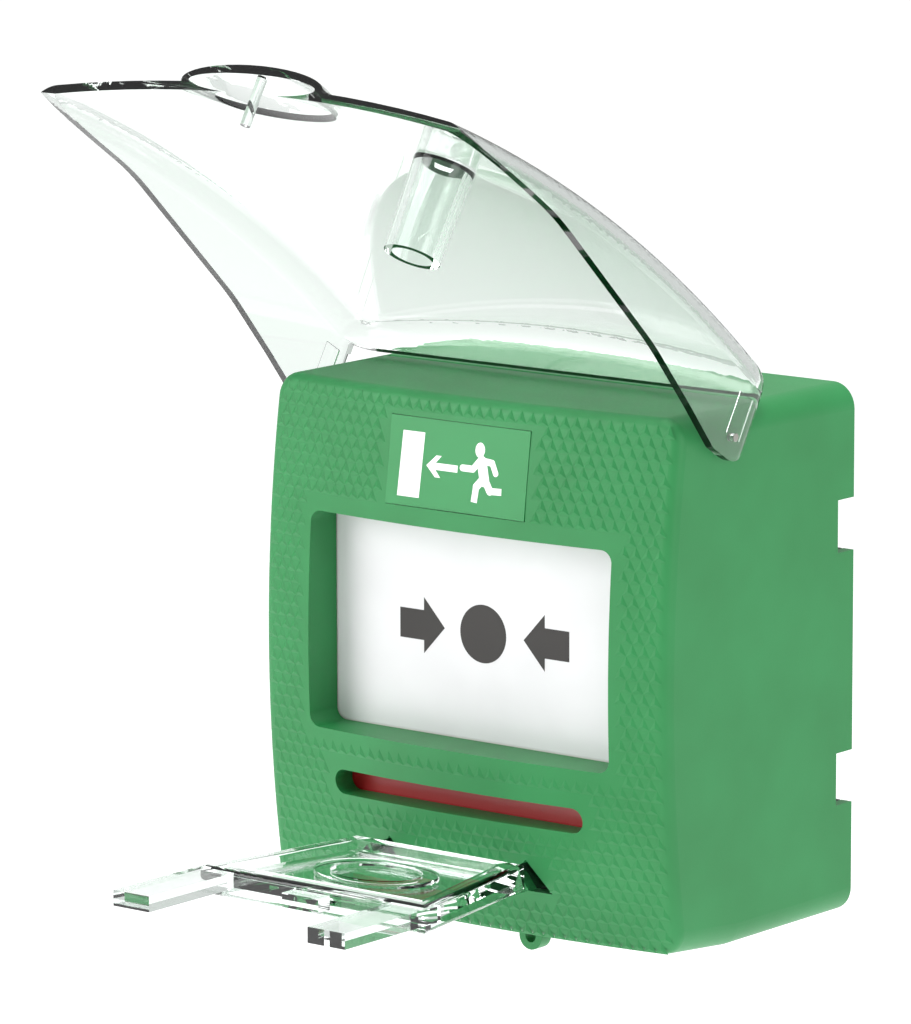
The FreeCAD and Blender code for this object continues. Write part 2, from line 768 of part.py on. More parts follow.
def chassis_back():
    return "chassis_front - chassis_thickness"


def chassis(doc):
    plate = plate_to_plate(doc, "chassis_plate", "chassis_half_width", "-chassis_half_height",
                           "chassis_half_height", chassis_back(), "chassis_front")
    solids = [plate]
    tip = f"{plate_front()} - plate_thickness - plate_travel - plate_gap"
    slider_up = "(slider_low + slider_high) / 2"
    holes = [
        plate_to_plate(doc, "switch_window", "switch_across + switch_width + 2", "-12", "24",
                       f"{chassis_back()} - 1", "chassis_front + 1"),
        plate_to_plate(doc, "terminal_window", "terminal_across + terminal_width / 2 + 0.4",
                       "terminal_low - 3", "terminal_low + terminal_height + 3",
                       f"{chassis_back()} - 1", "chassis_front + 1"),
    ]
    for word, side in SIDES.items():
        for level, up in {"low": -1, "high": 1}.items():
            at = (f"{side} * guide_across", f"-({tip})", f"window_middle + {up} * guide_up")
            solids.append(rod(doc, f"guide_pin_{word}_{level}", "Y", at, "guide_radius",
                              f"({tip}) - chassis_front + 1"))
            holes.append(rod(doc, f"chassis_hole_{word}_{level}", "Y",
                             (f"{side} * base_post_across", "-chassis_front - 1", f"{up} * base_post_up"),
                             "chassis_screw_radius", "chassis_thickness + 2"))
        pin_x = f"{side} * slider_pin_across"
        solids.append(rod(doc, f"slider_boss_{word}", "Y", (pin_x, "-slider_boss_front", slider_up), "3.5",
                          "slider_boss_front - chassis_front + 1"))
        solids.append(rod(doc, f"slider_pin_{word}", "Y", (pin_x, "-slider_front + 0.6", slider_up),
                          "guide_radius", "slider_front - slider_boss_front"))
        x = ("slider_half + 0.6", "flag_half - 0.5")
        if side < 0:
            x = (f"-({x[1]})", f"-({x[0]})")
        solids.append(block(doc, f"flag_guide_{word}", x,
                            ("-slot_back + 2 * flag_gap + flag_thickness", "-chassis_front + 1"),
                            ("flag_low - flag_travel", "flag_high - 1.2")))
    return cut(doc, "chassis", fuse(doc, "chassis_solid", solids), holes)


def coil(doc, name, across, up, back, front, radius, turns):
    """A closed-looking compression spring along the depth, between two distances from the wall."""
    wire = evaluate("spring_wire")
    length = evaluate(front) - evaluate(back) - wire
    helix = Part.makeHelix(length / turns, length, radius)
    start = FreeCAD.Vector(radius, 0, 0)
    rise = FreeCAD.Vector(0, 6.2832 * radius, length / turns)
    section = Part.Wire([Part.makeCircle(wire / 2, start, rise)])
    spring = doc.addObject("Part::Feature", name)
    spring.Shape = Part.Wire(helix.Edges).makePipeShell([section], True, True)
    at = FreeCAD.Vector(evaluate(across), -evaluate(back) - wire / 2, evaluate(up))
    spring.Placement = FreeCAD.Placement(at, FreeCAD.Rotation(FreeCAD.Vector(1, 0, 0), 90))
    return spring


def plate_springs(doc):
    springs = []
    back = "chassis_front + spring_gap"
    front = f"{plate_front()} - plate_thickness - sleeve_length - plate_travel - spring_gap"
    for word, side in SIDES.items():
        for level, up in {"lower": -1, "upper": 1}.items():
            springs.append(coil(doc, f"plate_spring_{level}_{word}", f"{side} * guide_across",
                                f"window_middle + {up} * guide_up", back, front, 3.0, 6))
    return springs


def reset_springs(doc):
    middle = "(slider_low + slider_high) / 2"
    return [
        coil(doc, f"reset_spring_{word}", f"{side} * slider_pin_across", middle,
             "slider_boss_front + spring_gap", "slider_back - slider_travel - spring_gap", 3.0, 6)
        for word, side in SIDES.items()
    ]


def wall_base(doc):
    half_width = "case_width / 2 - case_wall - base_gap"
    half_height = "case_height / 2 - case_wall - base_gap"
    plate = plate_to_plate(doc, "base_plate", half_width, f"-({half_height})", half_height, "0",
                           "base_thickness")
    solids = [plate]
    holes = []
    for word, side in SIDES.items():
        for level, up in {"low": -1, "high": 1}.items():
            post_at = (f"{side} * base_post_across", f"-({chassis_back()})", f"{up} * base_post_up")
            solids.append(rod(doc, f"base_post_{word}_{level}", "Y", post_at, "post_radius",
                              f"{chassis_back()} - base_thickness + 1"))
            holes.append(rod(doc, f"base_post_bore_{word}_{level}", "Y", post_at, "chassis_screw_radius",
                             "10"))
            board_up = "board_screw_high" if up > 0 else "board_screw_low"
            boss_at = (f"{side} * board_screw_across", "-board_back", board_up)
            solids.append(rod(doc, f"board_boss_{word}_{level}", "Y", boss_at, "3",
                              "board_back - base_thickness + 1"))
            holes.append(rod(doc, f"board_bore_{word}_{level}", "Y", boss_at, "board_screw_radius", "7"))
            solids += base_hook(doc, word, side, level, up)
            inner = f"{side} * (case_width / 2 - 8)"
            outer = f"{side} * case_width / 2"
            x = (outer, inner) if side < 0 else (inner, outer)
            middle = f"{up} * notch_spacing / 2"
            holes.append(block(doc, f"base_notch_{word}_{level}", x, ("-base_thickness - 1", "1"),
                               (f"{middle} - notch_height / 2", f"{middle} + notch_height / 2")))
        holes.append(fixing_slot(doc, word, side))
    holes.append(rod(doc, "wire_entry_hole", "Y", ("0", "-base_thickness - 1", "entry_up"), "entry_radius",
                     "base_thickness + 2"))
    return cut(doc, "wall_base", fuse(doc, "base_solid", solids), holes)


def base_hook(doc, word, side, level, up):
    """A snap arm off the base plate with a nib that stands in the cover's opening."""
    inside = "case_height / 2 - case_wall - base_gap"
    x = (f"{side} * prong_across - hook_width / 2", f"{side} * prong_across + hook_width / 2")
    arm = (f"{inside} - hook_thickness", inside)
    nib = (f"{inside} - 0.5", f"{inside} + hook_nib")
    if up < 0:
        arm = (f"-({arm[1]})", f"-({arm[0]})")
        nib = (f"-({nib[1]})", f"-({nib[0]})")
    return [
        block(doc, f"hook_arm_{word}_{level}", x, ("-hook_from_wall - hook_nib", "-base_thickness + 1"), arm),
        block(doc, f"hook_nib_{word}_{level}", x,
              ("-hook_from_wall - hook_nib", "-hook_from_wall + hook_nib"), nib),
    ]


def fixing_slot(doc, word, side):
    """A wall screw slot that runs along X, centred on a flush box's screw."""
    centre = f"{side} * fixing_spacing / 2"
    half = "fixing_slot_length / 2 - fixing_slot_width / 2"
    radius = "fixing_slot_width / 2"
    middle = block(doc, f"fixing_middle_{word}", (f"{centre} - ({half})", f"{centre} + {half}"),
                   ("-base_thickness - 1", "1"), (f"-{radius}", radius))
    ends = [
        rod(doc, f"fixing_end_{word}_{n}", "Y", (f"{centre} + {n} * ({half})", "-base_thickness - 1", "0"),
            radius, "base_thickness + 2")
        for n in (-1, 1)
    ]
    return fuse(doc, f"fixing_slot_{word}", [middle] + ends)


def wire_grommet(doc):
    """A rubber ring in the wire entry, with a flange on the inside of the base."""
    at = ("0", "-base_thickness", "entry_up")
    body = rod(doc, "grommet_body", "Y", at, "entry_radius", "base_thickness - 0.5")
    flange = rod(doc, "grommet_flange", "Y", ("0", "-base_thickness - 1.5", "entry_up"), "entry_radius + 2",
                 "1.5")
    bore = rod(doc, "grommet_bore", "Y", ("0", "-base_thickness - 3", "entry_up"), "wire_radius",
               "base_thickness + 5")
    return cut(doc, "wire_grommet", fuse(doc, "grommet_solid", [body, flange]), [bore])


# ---------------------------------------------------------------- board, switches and terminals

def board_front():
    return "board_back + board_thickness"


def circuit_board(doc):
    plate = plate_to_plate(doc, "board_plate", "board_half_width", "board_low", "board_high", "board_back",
                           board_front())
    holes = []
    for word, side in SIDES.items():
        for level in ("low", "high"):
            at = (f"{side} * board_screw_across", "-board_back - board_thickness - 1",
                  f"board_screw_{level}")
            holes.append(rod(doc, f"board_hole_{word}_{level}", "Y", at, "board_screw_radius",
                             "board_thickness + 2"))
    return cut(doc, "circuit_board", plate, holes)


def screw(doc, name, at, radius, head_radius, length):
    """A pan-head screw driven towards the wall, with a cross recess in its head."""
    x, face, z = at
    shank = rod(doc, name + "_shank", "Y", (x, f"-({face})", z), radius, length)
    head = rod(doc, name + "_head", "Y", (x, f"-({face}) - head_height", z), head_radius, "head_height")
    width = f"({head_radius}) * 0.16"
    reach = f"({head_radius}) * 0.6"
    y = (f"-({face}) - head_height - 1", f"-({face}) - head_height * 0.45")
    across = block(doc, name + "_across", (f"{x} - {reach}", f"{x} + {reach}"), y,
                   (f"{z} - {width}", f"{z} + {width}"))
    upright = block(doc, name + "_upright", (f"{x} - {width}", f"{x} + {width}"), y,
                    (f"{z} - {reach}", f"{z} + {reach}"))
    return cut(doc, name, fuse(doc, name + "_solid", [shank, head]), [across, upright])


def chassis_screws(doc):
    return group(doc, "chassis_screws", [
        screw(doc, f"chassis_screw_{word}_{level}",
              (f"{side} * base_post_across", "chassis_front", f"{up} * base_post_up"),
              "chassis_screw_radius", "chassis_head_radius", "chassis_thickness + 8")
        for word, side in SIDES.items() for level, up in {"low": -1, "high": 1}.items()
    ])


def board_screws(doc):
    return group(doc, "board_screws", [
        screw(doc, f"board_screw_{word}_{level}",
              (f"{side} * board_screw_across", board_front(), f"board_screw_{level}"),
              "board_screw_radius", "board_head_radius", "board_thickness + 5")
        for word, side in SIDES.items() for level in ("low", "high")
    ])


def switch_face():
    return f"{board_front()} + switch_height"


def switch_body(doc, word, side):
    """A snap-action switch: a block on the board, two ears for the lever's pin, a well for the button."""
    centre = f"{side} * switch_across"
    half = "switch_width / 2"
    case = block(doc, f"switch_case_{word}", (f"{centre} - {half}", f"{centre} + {half}"),
                 (f"-({switch_face()})", f"-({board_front()})"),
                 ("switch_middle - switch_length / 2", "switch_middle + switch_length / 2"))
    ears = []
    for n in (-1, 1):
        inner = f"{centre} + {n} * ({half} - 0.9)"
        outer = f"{centre} + {n} * {half}"
        x = (outer, inner) if n < 0 else (inner, outer)
        ears.append(block(doc, f"switch_ear_{word}_{n + 1}", x,
                          ("-lever_rest - 0.6", f"-({switch_face()}) + 1"),
                          ("lever_pivot_up - 1.5", "lever_pivot_up + 1.5")))
    pin = rod(doc, f"switch_pin_{word}", "X",
              (f"{centre} - {half}", "-lever_rest + lever_thickness + 0.9", "lever_pivot_up"),
              "lever_pin_radius", "switch_width")
    well = block(doc, f"switch_well_{word}", (f"{centre} - 1.3", f"{centre} + 1.3"),
                 (f"-({switch_face()}) - 1", f"-({switch_face()}) + 3.5"),
                 ("switch_middle + 0.7", "switch_middle + 3.3"))
    return cut(doc, f"switch_{word}", fuse(doc, f"switch_solid_{word}", [case, pin] + ears), [well])


def switch_button(doc, word, side):
    centre = f"{side} * switch_across"
    return block(doc, f"switch_button_{word}", (f"{centre} - 1.2", f"{centre} + 1.2"),
                 ("-lever_rest + lever_thickness + 0.25", f"-({switch_face()}) + 1.5"),
                 ("switch_middle + 0.8", "switch_middle + 3.2"))


def switch_lever(doc, word, side):
    """A flat blade with an eye around the switch's pin."""
    centre = f"{side} * switch_across"
    half = "switch_width / 2 - 1.1"
    axis_y = "-lever_rest + lever_thickness + 0.9"
    blade = block(doc, f"lever_blade_{word}", (f"{centre} - ({half})", f"{centre} + {half}"),
                  ("-lever_rest", "-lever_rest + lever_thickness"),
                  ("lever_pivot_up", "lever_pivot_up + lever_length"))
    eye = rod(doc, f"lever_eye_{word}", "X", (f"{centre} - ({half})", axis_y, "lever_pivot_up"), "1.2",
              f"2 * ({half})")
    bore = rod(doc, f"lever_bore_{word}", "X", (f"{centre} - 5", axis_y, "lever_pivot_up"),
               "lever_pin_radius + pin_clearance", "10")
    return cut(doc, f"switch_lever_{word}", fuse(doc, f"lever_solid_{word}", [blade, eye]), [bore])


def terminal_block(doc, word, side):
    """Four clamps in a row: a screw well from the front and a wire hole from below for each."""
    centre = f"{side} * terminal_across"
    case = block(doc, f"terminal_case_{word}",
                 (f"{centre} - terminal_width / 2", f"{centre} + terminal_width / 2"),
                 (f"-({board_front()}) - terminal_depth", f"-({board_front()})"),
                 ("terminal_low", "terminal_low + terminal_height"))
    wells = []
    for n in range(4):
        x = f"{centre} + {n - 1.5} * terminal_pitch"
        wells.append(rod(doc, f"terminal_well_{word}_{n}", "Y",
                         (x, f"-({board_front()}) - terminal_depth - 1", "terminal_low + terminal_height * 0.62"),
                         "1.7", "5"))
        wells.append(block(doc, f"terminal_wire_{word}_{n}", (f"{x} - 1.5", f"{x} + 1.5"),
                           (f"-({board_front()}) - 4.5", f"-({board_front()}) - 1.5"),
                           ("terminal_low - 1", "terminal_low + 5")))
    return cut(doc, f"terminal_block_{word}", case, wells)


def terminal_screws(doc):
    screws = []
    for word, side in SIDES.items():
        for n in range(4):
            x = f"{side} * terminal_across + {n - 1.5} * terminal_pitch"
            z = "terminal_low + terminal_height * 0.62"
            face = f"{board_front()} + terminal_depth - 4"
            body = rod(doc, f"clamp_body_{word}_{n}", "Y", (x, f"-({face}) - 2.2", z), "1.6", "2.2")
            groove = block(doc, f"clamp_groove_{word}_{n}", (f"{x} - 2", f"{x} + 2"),
                           (f"-({face}) - 3", f"-({face}) - 1.4"), (f"{z} - 0.25", f"{z} + 0.25"))
            screws.append(cut(doc, f"clamp_screw_{word}_{n}", body, [groove]))
    return group(doc, "terminal_screws", screws)


# ---------------------------------------------------------------- the reset key

def key_plate(doc, name, inset, low, high):
    """The key's outline, wider away from the case; inset brings every side in."""
    points = [
        (f"-key_back_half + ({inset})", f"-key_back - ({inset})"),
        (f"key_back_half - ({inset})", f"-key_back - ({inset})"),
        (f"key_front_half - ({inset})", f"-key_front + ({inset})"),
        (f"-key_front_half + ({inset})", f"-key_front + ({inset})"),
    ]
    return outline(doc, name, "XY_Plane", points, f"({high}) - ({low})", low)


def key_ring(doc, low, high):
    """A raised oval ring on the key's web, seated crossways."""
    middle = "-(key_back + key_front) / 2"
    rings = []
    for name, radius in {"ring_outer": "ring_radius", "ring_inner": "ring_radius - ring_width"}.items():
        oval = doc.addObject("Part::Ellipsoid", name)
        bind(oval, {
            "Radius1": "key_thickness * 4",
            "Radius2": f"({radius}) * 1.35",
            "Radius3": f"({radius}) * ring_squash * 1.35",
        })
        place(oval, ("0", middle, f"(({low}) + ({high})) / 2"))
        slab = block(doc, name + "_slab", ("-key_front_half", "key_front_half"), ("-key_front", "-key_back"),
                     (low, high))
        rings.append(common(doc, name + "_plug", [oval, slab]))
    return cut(doc, "key_ring", rings[0], [rings[1]])


def reset_key(doc):
    top = "key_top"
    low = "key_top - key_thickness"
    middle = "key_top - key_thickness / 2"
    web_low, web_high = f"{middle} - key_web / 2", f"{middle} + key_web / 2"
    frame = cut(doc, "key_frame", key_plate(doc, "key_outside", "0", low, top),
                [key_plate(doc, "key_hollow", "key_rim", f"{low} - 1", f"{top} + 1")])
    soft = fillet(doc, "key_frame_soft", frame, key_outer_edge, 1.0)
    solids = [
        soft,
        key_plate(doc, "key_web_plate", "key_rim - 0.5", web_low, web_high),
        key_ring(doc, f"{middle} - key_web / 2 - 0.9", f"{middle} + key_web / 2 + 0.9"),
        block(doc, "key_tab", ("-4.5", "4.5"), ("-key_front - 3.4", "-key_front + key_rim"),
              (f"{middle} - 1.4", f"{middle} + 1.4")),
    ]
    for word, side in SIDES.items():
        x = (f"{side} * prong_across - prong_width / 2", f"{side} * prong_across + prong_width / 2")
        solids.append(block(doc, f"prong_{word}", x, ("-prong_end", "-key_front + key_rim"),
                            ("key_top - 0.4 - prong_thickness", "key_top - 0.4")))
        solids.append(triangle(doc, f"key_leg_{word}", side, "leg_half", "leg_top", "leg_rise",
                               "leg_end", "key_back + key_rim"))
    return fuse(doc, "reset_key", solids)


def key_outer_edge(edge):
    """True for the long top and bottom edges round the outside of the key's frame."""
    middle = edge.CenterOfMass
    levels = (evaluate("key_top"), evaluate("key_top - key_thickness"))
    flat = edge.BoundBox.ZLength < 1e-6 and min(abs(middle.z - level) for level in levels) < 1e-6
    back, front = evaluate("key_back"), evaluate("key_front")
    slant = (-middle.y - back) / (front - back)
    half = evaluate("key_back_half") + slant * evaluate("key_front_half - key_back_half")
    at_side = abs(abs(middle.x) - half) < 0.01
    at_end = abs(middle.y + back) < 0.01 or abs(middle.y + front) < 0.01
    return flat and (at_side or at_end)


# ---------------------------------------------------------------- the whole object

def build(doc):
    make_sheet(doc)
    nodes = [front_cover(doc), sign_label(doc), lid_hinge_pins(doc), lid(doc)]
    nodes += [operating_plate(doc), panel_print(doc), indicator_flag(doc), reset_slider(doc)]
    nodes += [chassis(doc), wall_base(doc), wire_grommet(doc), circuit_board(doc)]
    nodes += [chassis_screws(doc), board_screws(doc), terminal_screws(doc), reset_key(doc)]
    nodes += plate_springs(doc) + reset_springs(doc)
    for word, side in SIDES.items():
        nodes.append(switch_body(doc, word, side))
        nodes.append(switch_button(doc, word, side))
        nodes.append(switch_lever(doc, word, side))
        nodes.append(terminal_block(doc, word, side))
    for node in nodes:
        if node.Name != "sign_label_plate_seat":
            node.Label = node.Name
    doc.recompute()
    turn_lid(doc)
    return nodes


def turn_lid(doc):
    """Stand the lid open, turned up about its pins from where it was drawn closed."""
    closed = doc.getObject("lid_closed")
    pivot = FreeCAD.Vector(0, -evaluate("pivot_from_wall"), evaluate("pivot_up"))
    turn = FreeCAD.Rotation(FreeCAD.Vector(1, 0, 0), -evaluate("lid_open_angle"))
    closed.Placement = FreeCAD.Placement(FreeCAD.Vector(), turn, pivot)
    closed.Label = "lid"


def check(doc, nodes):
    """Stop before anything is written if a feature failed or a shape is unsound."""
    faults = [item.Name for item in doc.Objects if {"Invalid", "Error"} & set(item.State)]
    faults += [node.Label for node in nodes if node.Shape.isNull() or not node.Shape.isValid()]
    faults += [node.Label for node in nodes if not node.Shape.Solids]
    if faults:
        raise RuntimeError("failed: " + ", ".join(sorted(set(faults))))


def main():
    doc = FreeCAD.newDocument("manual_call_point")
    nodes = build(doc)
    check(doc, nodes)
    os.makedirs("parts", exist_ok=True)
    for node in nodes:
        node.Shape.exportStep(f"parts/{node.Label}.step")
        print(node.Label, len(node.Shape.Solids), round(node.Shape.Volume, 1))


main()
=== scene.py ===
import bpy
import bmesh
import math
from mathutils import Matrix, Vector


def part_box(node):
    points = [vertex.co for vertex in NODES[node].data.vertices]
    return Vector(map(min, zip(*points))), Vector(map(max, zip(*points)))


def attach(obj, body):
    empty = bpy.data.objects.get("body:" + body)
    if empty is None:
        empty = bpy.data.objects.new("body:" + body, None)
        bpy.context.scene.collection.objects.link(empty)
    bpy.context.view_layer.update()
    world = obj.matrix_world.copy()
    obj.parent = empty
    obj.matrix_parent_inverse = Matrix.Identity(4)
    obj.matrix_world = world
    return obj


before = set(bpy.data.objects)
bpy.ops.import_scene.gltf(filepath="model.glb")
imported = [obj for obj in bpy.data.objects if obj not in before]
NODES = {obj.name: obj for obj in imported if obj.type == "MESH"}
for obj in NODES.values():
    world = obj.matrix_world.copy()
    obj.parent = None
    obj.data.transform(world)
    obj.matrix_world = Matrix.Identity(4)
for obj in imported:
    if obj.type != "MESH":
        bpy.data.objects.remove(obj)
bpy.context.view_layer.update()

MM = 0.001


# ---------------------------------------------------------------- helpers

def linear(code):
    """The linear RGBA colour of an sRGB hex value."""
    parts = [int(code[i:i + 2], 16) / 255 for i in (1, 3, 5)]
    return [c / 12.92 if c <= 0.04045 else ((c + 0.055) / 1.055) ** 2.4 for c in parts] + [1.0]


def add(tree, kind, settings=None, links=None):
    """Add a node: settings are its own properties or its inputs' values, links are its inputs' sources."""
    item = tree.nodes.new(kind)
    for name, value in (settings or {}).items():
        if isinstance(name, str) and hasattr(item, name):
            setattr(item, name, value)
        else:
            item.inputs[name].default_value = value
    for name, source in (links or {}).items():
        tree.links.new(source, item.inputs[name])
    return item


def start(name):
    """A new material: its node tree and its shader."""
    material = bpy.data.materials.new(name)
    material.use_nodes = True
    tree = material.node_tree
    return material, tree, tree.nodes["Principled BSDF"]


def dress(material, *names):
    """Give CAD nodes their finished material."""
    for name in names:
        mesh = NODES[name].data
        mesh.materials.clear()
        mesh.materials.append(material)


def mesh_object(name, mesh, material, body):
    """A finished piece in its place, riding on its body."""
    piece = bpy.data.objects.new(name, mesh)
    bpy.context.scene.collection.objects.link(piece)
    mesh.materials.clear()
    mesh.materials.append(material)
    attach(piece, body)
    return piece


# ---------------------------------------------------------------- materials

def moulded(name, dark, light, roughness, grain, depth, drift=18.0, specular=0.5):
    """Injection-moulded plastic: a fine grain from the tool's eroded face and a slight drift of colour."""
    material, tree, shader = start(name)
    where = add(tree, "ShaderNodeTexCoord").outputs["Object"]
    flow = add(tree, "ShaderNodeTexNoise", {"Scale": 1 / (drift * MM), "Detail": 2.0}, {"Vector": where})
    ramp = add(tree, "ShaderNodeValToRGB", links={"Fac": flow.outputs["Fac"]})
    ramp.color_ramp.elements[0].position = 0.3
    ramp.color_ramp.elements[0].color = linear(dark)
    ramp.color_ramp.elements[1].position = 0.7
    ramp.color_ramp.elements[1].color = linear(light)
    tree.links.new(ramp.outputs["Color"], shader.inputs["Base Color"])
    speck = add(tree, "ShaderNodeTexNoise", {"Scale": 1 / (grain * MM), "Detail": 3.0}, {"Vector": where})
    gloss = add(tree, "ShaderNodeMapRange",
                {"To Min": roughness * 0.88, "To Max": roughness * 1.12}, {"Value": speck.outputs["Fac"]})
    tree.links.new(gloss.outputs["Result"], shader.inputs["Roughness"])
    bump = add(tree, "ShaderNodeBump", {"Strength": 0.6, "Distance": depth * MM},
               {"Height": speck.outputs["Fac"]})
    tree.links.new(bump.outputs["Normal"], shader.inputs["Normal"])
    shader.inputs["Specular IOR Level"].default_value = specular
    shader.inputs["IOR"].default_value = 1.53
    return material


def metal(name, dark, light, roughness, line, depth):
    """Turned, drawn or plated steel with fine marks round and along it."""
    material, tree, shader = start(name)
    where = add(tree, "ShaderNodeTexCoord").outputs["Object"]
    stretched = add(tree, "ShaderNodeMapping", {"Scale": (1.0, 0.15, 1.0)}, {"Vector": where})
    marks = add(tree, "ShaderNodeTexNoise", {"Scale": 1 / (line * MM), "Detail": 4.0},
                {"Vector": stretched.outputs["Vector"]})
    ramp = add(tree, "ShaderNodeValToRGB", links={"Fac": marks.outputs["Fac"]})
    ramp.color_ramp.elements[0].color = linear(dark)
    ramp.color_ramp.elements[1].color = linear(light)
    tree.links.new(ramp.outputs["Color"], shader.inputs["Base Color"])
    gloss = add(tree, "ShaderNodeMapRange",
                {"To Min": roughness * 0.7, "To Max": roughness * 1.4}, {"Value": marks.outputs["Fac"]})
    tree.links.new(gloss.outputs["Result"], shader.inputs["Roughness"])
    bump = add(tree, "ShaderNodeBump", {"Strength": 0.5, "Distance": depth * MM},
               {"Height": marks.outputs["Fac"]})
    tree.links.new(bump.outputs["Normal"], shader.inputs["Normal"])
    shader.inputs["Metallic"].default_value = 1.0
    return material


def clear(name, tint, ripple, opacity):
    """Clear moulded polycarbonate: hard polished faces with the faintest ripple from the melt's flow."""
    material, tree, shader = start(name)
    where = add(tree, "ShaderNodeTexCoord").outputs["Object"]
    flow = add(tree, "ShaderNodeTexNoise", {"Scale": 1 / (ripple * MM), "Detail": 1.0}, {"Vector": where})
    bump = add(tree, "ShaderNodeBump", {"Strength": 0.25, "Distance": 0.02 * MM},
               {"Height": flow.outputs["Fac"]})
    tree.links.new(bump.outputs["Normal"], shader.inputs["Normal"])
    shader.inputs["Base Color"].default_value = linear(tint)
    shader.inputs["Transmission Weight"].default_value = 1.0
    shader.inputs["Roughness"].default_value = 0.015
    shader.inputs["IOR"].default_value = 1.5
    shader.inputs["Alpha"].default_value = opacity
    return material


# ABS, moulded in green: satin, with a soft highlight along every rounded edge.
GREEN = moulded("abs_green_moulded", "#1E763C", "#237E43", 0.48, 0.35, 0.012, specular=0.4)
# The sign's plate, ABS moulded in the same green with a smoother face.
SIGN = moulded("abs_green_smooth", "#237F43", "#278548", 0.4, 0.6, 0.004, specular=0.4)
# White ink, screen printed: flat and even.
WHITE_INK = moulded("ink_white_printed", "#F2F4F1", "#F8F9F6", 0.55, 0.25, 0.003)
# Black ink, screen printed: flat, a touch warm.
BLACK_INK = moulded("ink_black_printed", "#1C1815", "#221D1A", 0.5, 0.25, 0.003)
# The printed sheet, white vinyl: satin with a fine orange-peel.
SHEET = moulded("vinyl_white_sheet", "#D9D8DA", "#E0DFE1", 0.38, 0.5, 0.004)
# The operating plate, ABS moulded in white.
WHITE = moulded("abs_white_moulded", "#DEDDD8", "#E4E3DE", 0.4, 0.4, 0.008)
# The flag, ABS moulded in signal red, glossier than the case.
RED = moulded("abs_red_moulded", "#A31619", "#AD1A1D", 0.3, 0.5, 0.006)
# Glass-filled nylon of the frame and slider, greyish and dull with fibres near its face.
FRAME_GREY = moulded("nylon_grey_filled", "#55585A", "#606365", 0.55, 0.3, 0.02)
SLIDER_BLACK = moulded("acetal_black_moulded", "#1B1C1D", "#222324", 0.4, 0.3, 0.008)
# Back plate, ABS moulded in dark grey.
BASE_GREY = moulded("abs_grey_moulded", "#2B2D2E", "#333536", 0.5, 0.4, 0.015)
# Grommet, soft synthetic rubber: dull black with a dusty bloom.
RUBBER = moulded("rubber_black_moulded", "#141414", "#1F1E1D", 0.75, 0.5, 0.02)
SWITCH_BLACK = moulded("pbt_black_moulded", "#161617", "#1D1D1E", 0.45, 0.3, 0.01)
BUTTON_WHITE = moulded("nylon_natural_moulded", "#D8D4C6", "#E0DCCF", 0.45, 0.3, 0.008)
TERMINAL_GREY = moulded("polyamide_grey_moulded", "#7B8386", "#858D90", 0.48, 0.3, 0.01)
# Pins, turned from steel bar; screws, zinc plated; springs, drawn wire.
PIN_STEEL = metal("steel_turned", "#8C8A85", "#B5B2AC", 0.3, 0.12, 0.006)
ZINC = metal("steel_zinc_plated", "#A3A49F", "#C6C7C2", 0.28, 0.4, 0.004)
WIRE = metal("steel_spring_wire", "#6F7073", "#939498", 0.3, 0.1, 0.005)
# Lid and key, clear polycarbonate.
LID_CLEAR = clear("polycarbonate_clear_lid", "#F6FBF8", 14.0, 1.0)
KEY_CLEAR = clear("polycarbonate_clear_key", "#F4FAF7", 8.0, 1.0)


def board_material():
    """Circuit board: green solder mask over copper tracks, glossy, with the tracks just raised."""
    material, tree, shader = start("fibreglass_solder_mask")
    where = add(tree, "ShaderNodeTexCoord").outputs["Object"]
    tracks = add(tree, "ShaderNodeTexBrick",
                 {"Scale": 1 / (6 * MM), "Mortar Size": 0.06, "Color1": linear("#0E4A24"),
                  "Color2": linear("#0B3F1F"), "Mortar": linear("#1C6B36")})
    turned = add(tree, "ShaderNodeMapping", {"Rotation": (math.pi / 2, 0, 0)}, {"Vector": where})
    tree.links.new(turned.outputs["Vector"], tracks.inputs["Vector"])
    tree.links.new(tracks.outputs["Color"], shader.inputs["Base Color"])
    bump = add(tree, "ShaderNodeBump", {"Strength": 0.5, "Distance": 0.035 * MM},
               {"Height": tracks.outputs["Fac"]})
    tree.links.new(bump.outputs["Normal"], shader.inputs["Normal"])
    shader.inputs["Roughness"].default_value = 0.25
    return material


dress(GREEN, "front_cover")
dress(SIGN, "sign_label")
dress(SHEET, "panel_print")
dress(WHITE, "operating_plate")
dress(RED, "indicator_flag")
dress(FRAME_GREY, "chassis")
dress(SLIDER_BLACK, "reset_slider")
dress(BASE_GREY, "wall_base")
dress(RUBBER, "wire_grommet")
dress(board_material(), "circuit_board")
dress(PIN_STEEL, "lid_hinge_pins")
dress(ZINC, "chassis_screws", "board_screws", "terminal_screws", "switch_lever_left", "switch_lever_right")
dress(WIRE, *[name for name in NODES if "spring" in name])
dress(SWITCH_BLACK, "switch_left", "switch_right")
dress(BUTTON_WHITE, "switch_button_left", "switch_button_right")
dress(TERMINAL_GREY, "terminal_block_left", "terminal_block_right")
dress(LID_CLEAR, "lid")
dress(KEY_CLEAR, "reset_key")


# ---------------------------------------------------------------- printed marks

def flat_shape(mesh, corners, front, thickness):
    """Add a flat plate with the given outline (x, z in mm) whose front face is at y = front (mm)."""
    turning = sum(a[0] * b[1] - b[0] * a[1] for a, b in zip(corners, corners[1:] + corners[:1]))
    if turning < 0:
        corners = corners[::-1]
    near = [mesh.verts.new((x * MM, front * MM, z * MM)) for x, z in corners]
    far = [mesh.verts.new((x * MM, (front + thickness) * MM, z * MM)) for x, z in corners]
    mesh.faces.new(near)
    mesh.faces.new(far[::-1])
    for n in range(len(corners)):
        m = (n + 1) % len(corners)
        mesh.faces.new((near[m], near[n], far[n], far[m]))


